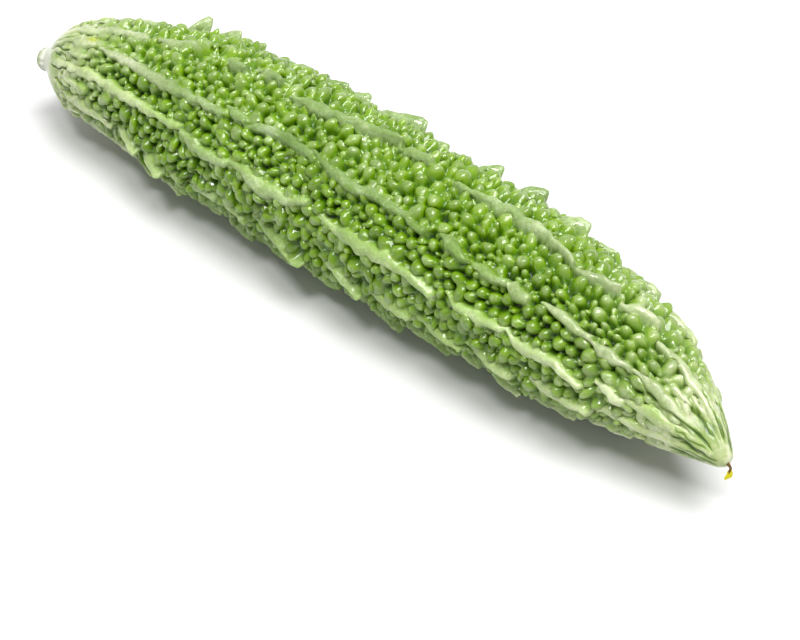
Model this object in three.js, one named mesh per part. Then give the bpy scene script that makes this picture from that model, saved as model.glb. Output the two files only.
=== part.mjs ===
// A bitter gourd, as picked, lying on its side. Millimetres, +Z up.
// +X runs from the stem to the blossom end. The belly bows towards +Y, and both ends droop.
import * as THREE from 'three';

// ---- driving dimensions ---------------------------------------------------
const FRUIT_LENGTH = 280;      // neck to blossom tip, along X
const SIDE_BOW = 12;           // how far the belly lies to +Y of the two ends
const END_DROOP = 5;           // how far the two ends hang below the belly's axis
const AXIS_HEIGHT = 26.7;      // belly axis above the surface that the fruit rests on

// Radius over the ridges against the share of the length: rounded neck, belly at
// two fifths, long taper to the blossom tip.
const RADIUS_AT = [
  [0, 4.2], [0.006, 5.9], [0.014, 8.9], [0.03, 13.3], [0.05, 16.6], [0.075, 18.7], [0.1, 20.2], [0.16, 23.4],
  [0.24, 26.8], [0.36, 28.4], [0.5, 28.2], [0.64, 27.2], [0.76, 25.2], [0.84, 21.4], [0.9, 16.3], [0.95, 9.9],
  [0.985, 4.7], [0.995, 2.9], [1, 1.2],
];

// Share of the full relief against the share of the length: smooth neck, flattened tip.
const RELIEF_AT = [
  [0, 0], [0.01, 0.2], [0.03, 0.6], [0.08, 0.8], [0.14, 1], [0.86, 1], [0.92, 0.66], [0.96, 0.4], [1, 0.05],
];

// The ten lengthwise ridges, each a row of pieces that climb to a fin and then
// drop. line is the crest's course, as [share of the length, degrees from the
// top towards -Y]. Pieces are [share where the piece ends, rise of its fin].
const RIDGES = [
  {
    line: [[0, -86], [1, -90]],
    start: 0.05,
    pieces: [
      [0.17, 1], [0.26, 2.2], [0.35, 1.4], [0.46, 2.4], [0.53, 1], [0.62, 2.6], [0.71, 1.6], [0.79, 1.8],
      [0.88, 1.2], [0.985, 0.3],
    ],
  },
  {
    line: [[0, -40], [0.15, -45], [0.7, -47], [1, -53]],
    start: 0.06,
    pieces: [
      [0.147, 1.2], [0.176, 6], [0.219, 3.6], [0.256, 2.2], [0.33, 1], [0.382, 1.8], [0.411, 3.6], [0.491, 4.2],
      [0.529, 1.4], [0.561, 1.2], [0.601, 3.8], [0.661, 4], [0.723, 3.6], [0.765, 1.4], [0.826, 1.6],
      [0.887, 1.4], [0.985, 0.4],
    ],
  },
  {
    line: [[0, 6], [0.3, 1], [0.6, -4], [1, -9]],
    start: 0.05,
    pieces: [
      [0.15, 0.3], [0.215, 1], [0.3, 1.2], [0.345, 1.4], [0.515, 2.2], [0.56, 1.4], [0.765, 2.4], [0.815, 1.8],
      [0.865, 1.8], [0.985, 0.5],
    ],
  },
  {
    line: [[0, 20], [0.1, 27], [0.2, 37], [0.45, 34], [0.6, 39], [1, 43]],
    start: 0.05,
    pieces: [
      [0.09, 0], [0.31, 0.2], [0.345, 0.3], [0.44, 0], [0.61, 0.1], [0.67, 0.5], [0.72, 0.6], [0.752, 0.4],
      [0.83, 0.3], [0.88, 0.4], [0.965, 0.5],
    ],
  },
  {
    line: [[0, 50], [0.18, 63], [0.45, 67], [0.7, 71], [0.85, 74], [1, 62]],
    start: 0.03,
    pieces: [
      [0.262, 0.3], [0.345, 1], [0.465, 0.7], [0.645, 0.9], [0.74, 0.8], [0.845, 1], [0.89, 0.7], [0.985, 0.3],
    ],
  },
  {
    line: [[0, 92], [0.2, 102], [0.5, 103], [0.8, 102], [1, 96]],
    start: 0.05,
    pieces: [
      [0.14, 1], [0.192, 3.4], [0.241, 4.4], [0.275, 2], [0.33, 1.2], [0.38, 1.8], [0.469, 4.4], [0.552, 3.6],
      [0.62, 1.6], [0.69, 2.2], [0.76, 2.6], [0.86, 1.8], [0.985, 0.6],
    ],
  },
  {
    line: [[0, 129], [1, 132]],
    start: 0.05,
    pieces: [
      [0.16, 1.4], [0.2, 2.2], [0.25, 2.6], [0.31, 1.2], [0.37, 2], [0.43, 2.8], [0.5, 1.4], [0.53, 1],
      [0.59, 2.4], [0.66, 1.8], [0.7, 1.2], [0.76, 2.2], [0.83, 1.4], [0.9, 1], [0.985, 0.3],
    ],
  },
  {
    line: [[0, 162], [1, 164]],
    start: 0.04,
    pieces: [
      [0.18, 0.8], [0.28, 1.2], [0.36, 0.8], [0.49, 0.8], [0.6, 1], [0.68, 0.8], [0.78, 1.2], [0.87, 1.4],
      [0.985, 0.3],
    ],
  },
  {
    line: [[0, 198], [1, 196]],
    start: 0.05,
    pieces: [
      [0.15, 0.8], [0.24, 1.2], [0.34, 0.8], [0.48, 1], [0.57, 0.8], [0.67, 1], [0.75, 0.8], [0.85, 1.4],
      [0.985, 0.3],
    ],
  },
  {
    line: [[0, 236], [1, 233]],
    start: 0.04,
    pieces: [
      [0.19, 1.2], [0.27, 2.2], [0.37, 1.4], [0.45, 2.6], [0.54, 1.2], [0.63, 2], [0.73, 2.4], [0.82, 1.4],
      [0.89, 1.6], [0.985, 0.3],
    ],
  },
];
const RIDGE_HEIGHT = 2.6;      // crest above the warty ground beside it
const CREST_WIDTH = 3.8;       // flat top of a ridge, across
const FOOT_WIDTH = 6.6;        // ridge across its foot
const PIECE_START = 5;         // length over which a piece rises out of the ground
const PIECE_DROP = 1.5;        // length over which it drops past its end
const BREAK_HEIGHT = 0.9;      // ridge left standing between two pieces
const GROUND_CROWN = 0.6;      // how far the ground bulges midway between two ridges
const RING_COUNT = 72;         // evenly spread rings of the fruit's surface
const TALL_FIN = 2.4;          // fins this tall get a ring at their tip

// The stalk's cut stub and the dried remnant of the flower.
const STEM_LENGTH = 4.2;
const STEM_RADIUS = 4;
const STEM_SIDES = 20;
const FLOWER_LENGTH = 4;
const FLOWER_RADIUS = 1.3;
const FLOWER_REACH = 1.4;      // how far beyond the blossom tip it hangs
const FLOWER_HANG = new THREE.Vector3(0.1, -0.3, -0.95).normalize();
const FLOWER_SIDES = 10;
const GAP = 0.3;               // between two pieces that meet

// ---- the fruit's axis and outline -----------------------------------------

// Value at x of a smooth line through points [x, y], by cubic Hermite steps.
function through(points, x) {
  const last = points.length - 2;
  const beyond = points.findIndex(([px]) => px > x);
  const k = beyond < 0 ? last : beyond - 1;
  const slope = (a, b) => (b[1] - a[1]) / (b[0] - a[0]);
  const [p, q] = [points[k], points[k + 1]];
  const here = slope(p, q);
  const before = k > 0 ? slope(points[k - 1], p) : here;
  const after = k < last ? slope(q, points[k + 2]) : here;
  const level = (a, b) => (a * b <= 0 ? 0 : (2 * a * b) / (a + b));
  const span = q[0] - p[0];
  const t = THREE.MathUtils.clamp((x - p[0]) / span, 0, 1);
  const m0 = level(before, here) * span;
  const m1 = level(here, after) * span;
  return (2 * t ** 3 - 3 * t ** 2 + 1) * p[1] + (t ** 3 - 2 * t ** 2 + t) * m0
    + (3 * t ** 2 - 2 * t ** 3) * q[1] + (t ** 3 - t ** 2) * m1;
}

// Point of the axis at a share of the length. Bow and droop grow as the fourth
// power of the distance from the middle, so the belly is nearly straight.
function axisPoint(share) {
  const t = 2 * share - 1;
  return new THREE.Vector3(
    (share - 0.5) * FRUIT_LENGTH,
    SIDE_BOW * (1 - t ** 4),
    AXIS_HEIGHT - END_DROOP * t ** 4,
  );
}

// The axis's direction, with the side and upward directions square to it.
function axisFrame(share) {
  const step = 0.001;
  const along = axisPoint(share + step).sub(axisPoint(share - step)).normalize();
  const side = new THREE.Vector3(0, 0, 1).cross(along).normalize();
  const up = along.clone().cross(side);
  return { along, side, up };
}

// Point at a radius and an angle round the axis, in degrees from the top towards -Y.
function surfacePoint(share, degrees, radius) {
  const { side, up } = axisFrame(share);
  const angle = THREE.MathUtils.degToRad(degrees);
  return axisPoint(share)
    .addScaledVector(side, -radius * Math.sin(angle))
    .addScaledVector(up, radius * Math.cos(angle));
}

// ---- ridges ---------------------------------------------------------------

// Height over the ground of one piece: a slow start, a climb to the fin as the
// square of the share of the piece, and a sudden drop past its end.
function pieceHeight(share, start, end, fin) {
  const fromStart = (share - start) * FRUIT_LENGTH;
  const pastEnd = (share - end) * FRUIT_LENGTH;
  const climb = THREE.MathUtils.clamp((share - start) / (end - start), 0, 1) ** 2;
  const presence = THREE.MathUtils.smoothstep(fromStart, 0, PIECE_START)
    * (1 - THREE.MathUtils.smoothstep(pastEnd, 0, PIECE_DROP));
  return (RIDGE_HEIGHT + fin * climb) * presence;
}

// A ridge's height over the ground: the tallest of its pieces there.
function ridgeHeight({ start, pieces }, share) {
  const heights = pieces.map(([end, fin], k) => pieceHeight(share, k > 0 ? pieces[k - 1][0] : start, end, fin));
  return Math.max(BREAK_HEIGHT, ...heights);
}

// One ring of the surface: for each ridge its two feet and the two edges of its
// crest, and then the crown of the ground before the next ridge.
function ring(share) {
  const top = through(RADIUS_AT, share);
  const relief = through(RELIEF_AT, share);
  const ground = top - RIDGE_HEIGHT * relief;
  const perDegree = (Math.PI / 180) * Math.max(top, 1);
  const points = [];
  RIDGES.forEach((ridge, index) => {
    const angle = through(ridge.line, share);
    const turn = index === RIDGES.length - 1 ? 360 : 0;
    const nextAngle = through(RIDGES[(index + 1) % RIDGES.length].line, share) + turn;
    const room = (nextAngle - angle) * 0.42;
    const foot = Math.min(FOOT_WIDTH / 2 / perDegree, room);
    const edge = Math.min(CREST_WIDTH / 2 / perDegree, room * 0.6);
    const crest = ground + ridgeHeight(ridge, share) * relief;
    const crown = ground + GROUND_CROWN * relief;
    points.push(surfacePoint(share, angle - foot, ground));
    points.push(surfacePoint(share, angle - edge, crest));
    points.push(surfacePoint(share, angle + edge, crest));
    points.push(surfacePoint(share, angle + foot, ground));
    points.push(surfacePoint(share, (angle + nextAngle) / 2, crown));
  });
  return points;
}

// The shares of the length that carry a ring: an even spread that closes up at
// the ends, and one at the tip of each tall fin.
function ringShares() {
  const spread = Array.from({ length: RING_COUNT + 1 }, (_, row) => {
    const u = row / RING_COUNT;
    return 0.65 * u + 0.35 * (0.5 - 0.5 * Math.cos(Math.PI * u));
  });
  const tips = RIDGES.flatMap(({ pieces }) => pieces.filter(([, fin]) => fin >= TALL_FIN).map(([end]) => end));
  return [...spread, ...new Set(tips)].sort((a, b) => a - b);
}

// The whole fruit: rings closed by a fan at each end. What would sink below the
// resting surface is pressed flat, which leaves the flats that the fruit lies on.
function fruitGeometry() {
  const shares = ringShares();
  const lastRow = shares.length - 1;
  const vertices = [axisPoint(0), ...shares.flatMap(ring)];
  vertices.push(axisPoint(1));
  vertices.forEach((v) => { v.z = Math.max(v.z, 0); });

  const around = RIDGES.length * 5;
  const tip = vertices.length - 1;
  const at = (row, column) => 1 + row * around + (column % around);
  const faces = [];
  for (let column = 0; column < around; column += 1) {
    faces.push(0, at(0, column + 1), at(0, column));
    faces.push(tip, at(lastRow, column), at(lastRow, column + 1));
    for (let row = 0; row < lastRow; row += 1) {
      const [a, b] = [at(row, column), at(row, column + 1)];
      const [c, d] = [at(row + 1, column), at(row + 1, column + 1)];
      faces.push(a, b, d, a, d, c);
    }
  }
  const geometry = new THREE.BufferGeometry().setFromPoints(vertices);
  geometry.setIndex(faces);
  return geometry;
}

// ---- stem and withered flower ---------------------------------------------

// A turned piece whose profile [distance, radius] runs from a start point in a direction.
function turned(profile, sides, start, direction) {
  const outline = profile.map(([distance, radius]) => new THREE.Vector2(radius, distance));
  const turn = new THREE.Quaternion().setFromUnitVectors(new THREE.Vector3(0, 1, 0), direction);
  return new THREE.LatheGeometry(outline, sides).applyQuaternion(turn).translate(...start);
}

// The stub is widest where it joins the neck, and its far end is rounded over.
function stemGeometry() {
  const profile = [
    [GAP, 0],
    [GAP, STEM_RADIUS],
    [STEM_LENGTH * 0.45, STEM_RADIUS * 0.96],
    [STEM_LENGTH * 0.75, STEM_RADIUS * 0.8],
    [STEM_LENGTH * 0.94, STEM_RADIUS * 0.5],
    [STEM_LENGTH, 0],
  ];
  return turned(profile, STEM_SIDES, axisPoint(0), axisFrame(0).along.negate());
}

// The remnant is a dry thread with limp shreds of petal at its end. It hangs
// just clear of the blossom tip.
function flowerGeometry() {
  const profile = [
    [0, 0],
    [0, FLOWER_RADIUS * 0.5],
    [FLOWER_LENGTH * 0.35, FLOWER_RADIUS * 0.55],
    [FLOWER_LENGTH * 0.55, FLOWER_RADIUS],
    [FLOWER_LENGTH * 0.85, FLOWER_RADIUS * 0.9],
    [FLOWER_LENGTH, 0],
  ];
  const start = axisPoint(1).addScaledVector(axisFrame(1).along, FLOWER_REACH);
  return turned(profile, FLOWER_SIDES, start, FLOWER_HANG);
}

// ---- assembly -------------------------------------------------------------

function piece(name, geometry, material) {
  const mesh = new THREE.Mesh(geometry, material);
  mesh.name = name;
  return mesh;
}

const gourd = new THREE.Group();
gourd.add(
  piece('fruit', fruitGeometry(), new THREE.MeshStandardMaterial({ color: 0x86b04c, roughness: 0.45, metalness: 0 })),
  piece('stem', stemGeometry(), new THREE.MeshStandardMaterial({ color: 0x9fb08a, roughness: 0.6, metalness: 0 })),
  piece('withered_flower', flowerGeometry(), new THREE.MeshStandardMaterial({ color: 0xa98b2f, roughness: 0.85, metalness: 0 })),
);

// The origin is the middle of the whole object's footprint, on the resting surface.
const box = new THREE.Box3().setFromObject(gourd);
const middle = box.getCenter(new THREE.Vector3());
gourd.position.set(-middle.x, -middle.y, -box.min.z);

export default gourd;
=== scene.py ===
import bpy
import numpy as np
from mathutils import Matrix, Vector


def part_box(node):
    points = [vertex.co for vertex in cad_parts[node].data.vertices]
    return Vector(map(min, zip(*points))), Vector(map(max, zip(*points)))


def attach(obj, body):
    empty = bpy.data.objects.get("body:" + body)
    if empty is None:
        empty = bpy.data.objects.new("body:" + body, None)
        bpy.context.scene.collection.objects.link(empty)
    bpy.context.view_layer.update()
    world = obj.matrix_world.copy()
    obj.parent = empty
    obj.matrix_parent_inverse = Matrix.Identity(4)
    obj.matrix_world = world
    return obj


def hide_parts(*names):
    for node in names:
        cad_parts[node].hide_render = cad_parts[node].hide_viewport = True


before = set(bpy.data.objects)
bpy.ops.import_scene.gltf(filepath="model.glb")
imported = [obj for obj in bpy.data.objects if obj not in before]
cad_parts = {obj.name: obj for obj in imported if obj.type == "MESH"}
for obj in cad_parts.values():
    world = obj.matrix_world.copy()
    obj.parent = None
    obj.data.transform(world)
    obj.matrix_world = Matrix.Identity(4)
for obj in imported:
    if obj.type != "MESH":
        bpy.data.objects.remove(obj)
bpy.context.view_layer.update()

# ---- fruit: line and thickness ----------------------------------------------
# A bitter gourd is one long berry, firm wet flesh under a thin waxed skin, grown
# in one piece. Its middle is nearly straight, its ends hook over, and it runs
# from a rounded neck to a long tapered blossom end.
MM = 0.001
FRUIT_LENGTH = 280.0  # millimetres, as are all sizes of the fruit
SIDE_BOW = 12.0  # how far the ends swing to -Y of the middle
END_DROOP = 5.0  # how far the ends' axis hangs below the middle's
AXIS_HEIGHT = 26.7  # of the axis over the floor, at the middle
# (share of the length, radius over the wart tops)
RADIUS_AT = [
    (0, 4.2), (0.006, 5.9), (0.014, 8.9), (0.03, 13.3), (0.05, 16.6), (0.075, 18.7), (0.1, 20.2),
    (0.16, 23.4), (0.24, 26.8), (0.36, 28.4), (0.5, 28.2), (0.64, 27.2), (0.76, 25.2),
    (0.84, 21.4), (0.9, 16.3), (0.95, 9.9), (0.985, 4.7), (0.995, 2.9), (1, 1.2),
]
# (share of the length, share of the full relief): the neck and the blossom end are nearly smooth
RELIEF_AT = [
    (0, 0), (0.01, 0.2), (0.03, 0.6), (0.08, 0.8), (0.14, 1),
    (0.86, 1), (0.92, 0.66), (0.96, 0.4), (1, 0.05),
]


def through(points, x):
    """Value at x of a smooth line through the points: cubic steps from each to the next. The slope
    at a point is the harmonic mean of the rises on both sides, and level where the line turns."""
    known_x, known_y = np.array(points, float).T
    rise = np.diff(known_y) / np.diff(known_x)
    product = rise[:-1] * rise[1:]
    mean_rise = 2 * product / np.where(product > 0, rise[:-1] + rise[1:], 1)
    slope = np.concatenate([rise[:1], np.where(product > 0, mean_rise, 0), rise[-1:]])
    step = np.clip(np.searchsorted(known_x, x, side="right") - 1, 0, len(known_x) - 2)
    span = known_x[step + 1] - known_x[step]
    t = np.clip((x - known_x[step]) / span, 0, 1)
    start = (2 * t**3 - 3 * t**2 + 1) * known_y[step] + (t**3 - 2 * t**2 + t) * span * slope[step]
    end = (3 * t**2 - 2 * t**3) * known_y[step + 1] + (t**3 - t**2) * span * slope[step + 1]
    return start + end


def axis_point(at_share):
    """Point of the axis: X grows with the share of the length, and the bow and the droop grow with
    the fourth power of the distance from the middle."""
    t = 2 * at_share - 1
    x = (at_share - 0.5) * FRUIT_LENGTH
    return np.stack([x, SIDE_BOW * (1 - t**4), AXIS_HEIGHT - END_DROOP * t**4], -1)


def axis_frame(at_share):
    """Unit directions at the axis: along it, sideways to +Y, and up, square to each other."""
    ahead = axis_point(at_share + 0.001) - axis_point(at_share - 0.001)
    ahead /= np.linalg.norm(ahead, axis=-1, keepdims=True)
    sideways = np.cross(np.array([0.0, 0.0, 1.0]), ahead)
    sideways /= np.linalg.norm(sideways, axis=-1, keepdims=True)
    return ahead, sideways, np.cross(ahead, sideways)


# The frame's origin is the middle of the footprint, so the line is slid to where the frame holds
# the stem.
STEM_LENGTH = 4.2  # from the neck to the cut end
STEM_GAP = 0.3  # from the neck to the start of the stub
stem_low, stem_high = (np.array(corner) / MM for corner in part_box("stem"))
NECK, TIP = np.array(0.0), np.array(1.0)  # shares of the length
stem_middle = axis_point(NECK) - axis_frame(NECK)[0] * (STEM_GAP + STEM_LENGTH) / 2
TO_FRAME = (stem_low + stem_high) / 2 - stem_middle
TO_FRAME[2] = 0

# ---- fruit: ridges ----------------------------------------------------------
# The skin is thrown up into ten lengthwise ridges of solid flesh, each a row of
# broken bars that climb to a fin and drop. The flanks carry the tallest fins.

# Each bar is (rise of its fin, its line), and its line's points are (share of the length, degrees
# from the top towards -Y).
RIDGE_PIECES = {
    "near_back": [
        (1.2, [(0.06, -40), (0.12, -42), (0.147, -43)]), (6.8, [(0.155, -46), (0.175, -47)]),
        (3.6, [(0.186, -46), (0.219, -47)]), (2.2, [(0.232, -45), (0.256, -46)]),
        (1.0, [(0.27, -45), (0.33, -42)]), (1.8, [(0.345, -42), (0.382, -42)]),
        (3.2, [(0.386, -45), (0.411, -46)]), (4.2, [(0.43, -42), (0.46, -44), (0.491, -46)]),
        (1.4, [(0.505, -46), (0.529, -47)]), (1.2, [(0.535, -46), (0.561, -47)]),
        (4.0, [(0.573, -46), (0.601, -47)]), (4.4, [(0.63, -46), (0.661, -47)]),
        (3.8, [(0.686, -46), (0.723, -47)]), (1.4, [(0.735, -48), (0.765, -49)]),
        (1.6, [(0.775, -50), (0.826, -52)]), (1.4, [(0.835, -52), (0.887, -54)]),
        (0.3, [(0.895, -54), (0.93, -55), (0.985, -52)]),
    ],
    "top": [
        (0.3, [(0.05, 6), (0.1, 4), (0.15, 3)]), (1.0, [(0.16, 0), (0.19, 2), (0.215, -3)]),
        (1.2, [(0.27, 2), (0.3, 4)]), (1.4, [(0.31, -4), (0.345, -2)]),
        (2.2, [(0.36, 3), (0.4, 1), (0.45, 0), (0.515, -6)]), (1.4, [(0.52, -3), (0.56, -5)]),
        (2.4, [(0.595, -4), (0.66, -5), (0.71, -3), (0.765, 4)]), (1.8, [(0.77, 4), (0.815, -5)]),
        (1.8, [(0.83, -2), (0.865, -11)]),
        (0.5, [(0.88, -3), (0.92, -7), (0.95, -11), (0.988, -9)]),
    ],
    "main": [
        (0.0, [(0.05, 22), (0.09, 26)]), (0.2, [(0.1, 27), (0.17, 35), (0.22, 39), (0.31, 39)]),
        (0.3, [(0.315, 33), (0.345, 36)]), (0.0, [(0.35, 39), (0.37, 34), (0.4, 32), (0.44, 34)]),
        (0.1, [(0.443, 31), (0.5, 38), (0.54, 36), (0.61, 40)]), (0.5, [(0.63, 36), (0.67, 42)]),
        (0.6, [(0.68, 42), (0.72, 42)]), (0.4, [(0.722, 40), (0.752, 44)]),
        (0.3, [(0.77, 38), (0.83, 40)]), (0.4, [(0.833, 42), (0.88, 40)]),
        (0.5, [(0.885, 36), (0.93, 39), (0.965, 43)]),
    ],
    "front": [
        (0.3, [(0.03, 52), (0.12, 58), (0.18, 63), (0.262, 63)]),
        (1.0, [(0.268, 66), (0.31, 70), (0.345, 68)]),
        (0.7, [(0.35, 64), (0.4, 69), (0.43, 69), (0.465, 62)]),
        (0.9, [(0.485, 66), (0.52, 70), (0.59, 69), (0.645, 75)]),
        (0.8, [(0.665, 68), (0.68, 74), (0.74, 70)]),
        (1.0, [(0.745, 71), (0.78, 76), (0.8, 73), (0.845, 79)]),
        (0.7, [(0.86, 70), (0.89, 74)]), (0.3, [(0.893, 70), (0.93, 66), (0.985, 62)]),
    ],
    "low_front": [
        (1.0, [(0.05, 92), (0.1, 96), (0.14, 99)]), (3.4, [(0.15, 100), (0.192, 102)]),
        (4.4, [(0.2, 101), (0.241, 105)]), (2.0, [(0.248, 102), (0.275, 106)]),
        (1.2, [(0.283, 103), (0.33, 101)]), (1.8, [(0.335, 98), (0.38, 104)]),
        (4.4, [(0.395, 99), (0.43, 102), (0.469, 107)]),
        (3.6, [(0.49, 99), (0.52, 102), (0.552, 106)]),
        (1.6, [(0.565, 101), (0.62, 103)]), (2.2, [(0.63, 103), (0.69, 105)]),
        (2.6, [(0.7, 101), (0.76, 104)]), (1.8, [(0.77, 100), (0.82, 103), (0.86, 101)]),
        (0.6, [(0.87, 98), (0.93, 97), (0.985, 96)]),
    ],
}
# For each of those ridges' bars: how high their edge is raised, how strong the painted rim light
# along that edge is, how pale they are, and how far they stand over the other ridges.
# The front and low front ridges' paleness is partly painted light, as if the light fell on them
# from the front.
RIDGE_LOOKS = {
    "near_back": (0.2, 0.3, 0.5, 0.2),
    "top": (0.2, 0.4, 0.4, 0.9),
    "main": (0.08, 0.22, 0.15, 0.1),
    "front": (0.3, 1.0, 1.4, 0.2),
    "low_front": (0.34, 1.0, 1.2, 0.1),
}
# The ridges that the fruit lies on or that face away: angle, where the first bar starts, and for
# each bar the share where it ends and the rise of its fin.
FAR_RIDGES = [
    (131, 0.05, [
        (0.16, 1.4), (0.2, 2.2), (0.25, 2.6), (0.31, 1.2), (0.37, 2.0), (0.43, 2.8), (0.5, 1.4),
        (0.53, 1.0), (0.59, 2.4), (0.66, 1.8), (0.7, 1.2), (0.76, 2.2), (0.83, 1.4), (0.9, 1.0),
        (0.985, 0.3),
    ]),
    (163, 0.04, [
        (0.18, 0.8), (0.28, 1.2), (0.36, 0.8), (0.49, 0.8), (0.6, 1.0), (0.68, 0.8), (0.78, 1.2),
        (0.87, 1.4), (0.985, 0.3),
    ]),
    (197, 0.05, [
        (0.15, 0.8), (0.24, 1.2), (0.34, 0.8), (0.48, 1.0), (0.57, 0.8), (0.67, 1.0), (0.75, 0.8),
        (0.85, 1.4), (0.985, 0.3),
    ]),
    (234, 0.04, [
        (0.19, 1.2), (0.27, 2.2), (0.37, 1.4), (0.45, 2.6), (0.54, 1.2), (0.63, 2.0), (0.73, 2.4),
        (0.82, 1.4), (0.89, 1.6), (0.985, 0.3),
    ]),
    (272, 0.05, [
        (0.17, 1.0), (0.26, 2.2), (0.35, 1.4), (0.46, 2.4), (0.53, 1.0), (0.62, 2.6), (0.71, 1.6),
        (0.79, 1.8), (0.88, 1.2), (0.985, 0.3),
    ]),
]
FAR_RIM = 0.18  # how high their bars' edges are raised
# How strong the painted rim light along their bars' edges is.
FAR_RIM_LIGHT = 0.4
CREST_HEIGHT = 5.3  # of a bar over the clefts
CREST_WIDTH = 3.7
CLEFT_DEPTH = 6.0  # from the radius down to the clefts
FILL_HEIGHT = 4.5  # over the clefts, of what fills them near both ends
FILL_RISE = 0.8  # and how far up a wart its colour is
WANDER = 0.35  # of a bar's line to its sides
WAVER = 0.2  # of the outlines of bars and warts
MEAN_RADIUS = 24.0
ROWS = 1100  # a grid line each quarter of a millimetre
COLUMNS = 640
STEP = FRUIT_LENGTH / ROWS
PER_COLUMN = 360 / COLUMNS  # degrees

share = np.linspace(0, 1, ROWS + 1)
turn = np.arange(COLUMNS) * PER_COLUMN
radius = through(RADIUS_AT, share)
relief = through(RELIEF_AT, share)
draw = np.random.default_rng(11)


def smooth_step(x):
    """0 below 0, 1 above 1 and an S curve between."""
    x = np.clip(x, 0, 1)
    return x * x * (3 - 2 * x)


def bell(x):
    """1 at 0, and e to the power of less x squared away from it."""
    return np.exp(-(x**2))


def round_part(degrees):
    """An angle brought to between -180 and 180 degrees."""
    return (degrees + 180) % 360 - 180


def waves(at, degrees, count, shortest, longest):
    """Smooth random field, about -1 to 1: a sum of sine waves that close round the fruit."""
    total = np.zeros(np.broadcast(at, degrees).shape)
    for _ in range(count):
        length = draw.uniform(shortest, longest)
        heading = draw.uniform(0, 2 * np.pi)
        waves_round = np.round(2 * np.pi * MEAN_RADIUS / length * np.sin(heading))
        per_millimetre = 2 * np.pi / length * np.cos(heading)
        phase = per_millimetre * at + np.radians(degrees) * waves_round
        total += np.sin(phase + draw.uniform(0, 2 * np.pi))
    return total / np.sqrt(count)


def ripple(at, count, shortest, longest):
    """Smooth random line, about -1 to 1: a sum of sine waves along the fruit."""
    total = np.zeros(len(at))
    for _ in range(count):
        length = draw.uniform(shortest, longest)
        total += np.sin(2 * np.pi * at / length + draw.uniform(0, 2 * np.pi))
    return total / np.sqrt(count)


# Next to the stalk and at the blossom end the clefts are filled.
filled = np.maximum(1 - smooth_step((share - 0.026) / 0.046), smooth_step((share - 0.94) / 0.035))
lift_field = np.tile((FILL_HEIGHT * filled)[:, None], COLUMNS)  # height over the clefts
rise_field = np.tile((FILL_RISE * filled)[:, None], COLUMNS)  # share of the way up a wart or bar
crest_field = np.zeros_like(lift_field)  # 1 on a bar's crest
# Painted rim light: a pale line painted along each bar's edge, strongest on its lower side.
rim_light_field = np.zeros_like(lift_field)  # 1 on a bar's raised edge
tint_field = np.full_like(lift_field, 0.5)  # 0 for a dark lump, 1 and more for a pale one
lean_along = np.zeros_like(lift_field)
lean_round = np.zeros_like(lift_field)
ridge_edge = np.full_like(lift_field, 9.0)  # distance to the nearest bar
along_grid = share[:, None] * FRUIT_LENGTH
warp_along = WAVER * waves(along_grid, turn[None, :], 34, 4.0, 10.0)
warp_round = WAVER * waves(along_grid, turn[None, :], 34, 4.0, 10.0)
knobs = waves(along_grid, turn[None, :], 40, 2.6, 6.0)


def patch(first, last, low_angle, high_angle):
    """Rows and columns of the grid that cover a stretch of the fruit and a span of angle."""
    rows = np.arange(max(0, int(first / STEP)), min(ROWS, int(last / STEP) + 1) + 1)
    low = int(np.floor(low_angle / PER_COLUMN))
    high = min(int(np.ceil(high_angle / PER_COLUMN)), low + COLUMNS - 1)
    return rows, np.arange(low, high + 1) % COLUMNS


def throw_up(rows, columns, lift, top, crest_part, rim_light_part, shade, lean):
    """Where a lump stands higher than the skin so far, the skin takes the lump's height and looks.
    Its share of the way up is the height over the lump's top."""
    window = np.ix_(rows, columns)
    wins = lift > lift_field[window]
    lift_field[window] = np.where(wins, lift, lift_field[window])
    rise_field[window] = np.where(wins, np.minimum(lift / top, 1), rise_field[window])
    crest_field[window] = np.where(wins, crest_part, crest_field[window])
    rim_light_field[window] = np.where(wins, rim_light_part, rim_light_field[window])
    tint_field[window] = np.where(wins, shade, tint_field[window])
    lean_along[window] = np.where(wins, lean[0], lean_along[window])
    lean_round[window] = np.where(wins, lean[1], lean_round[window])


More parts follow.
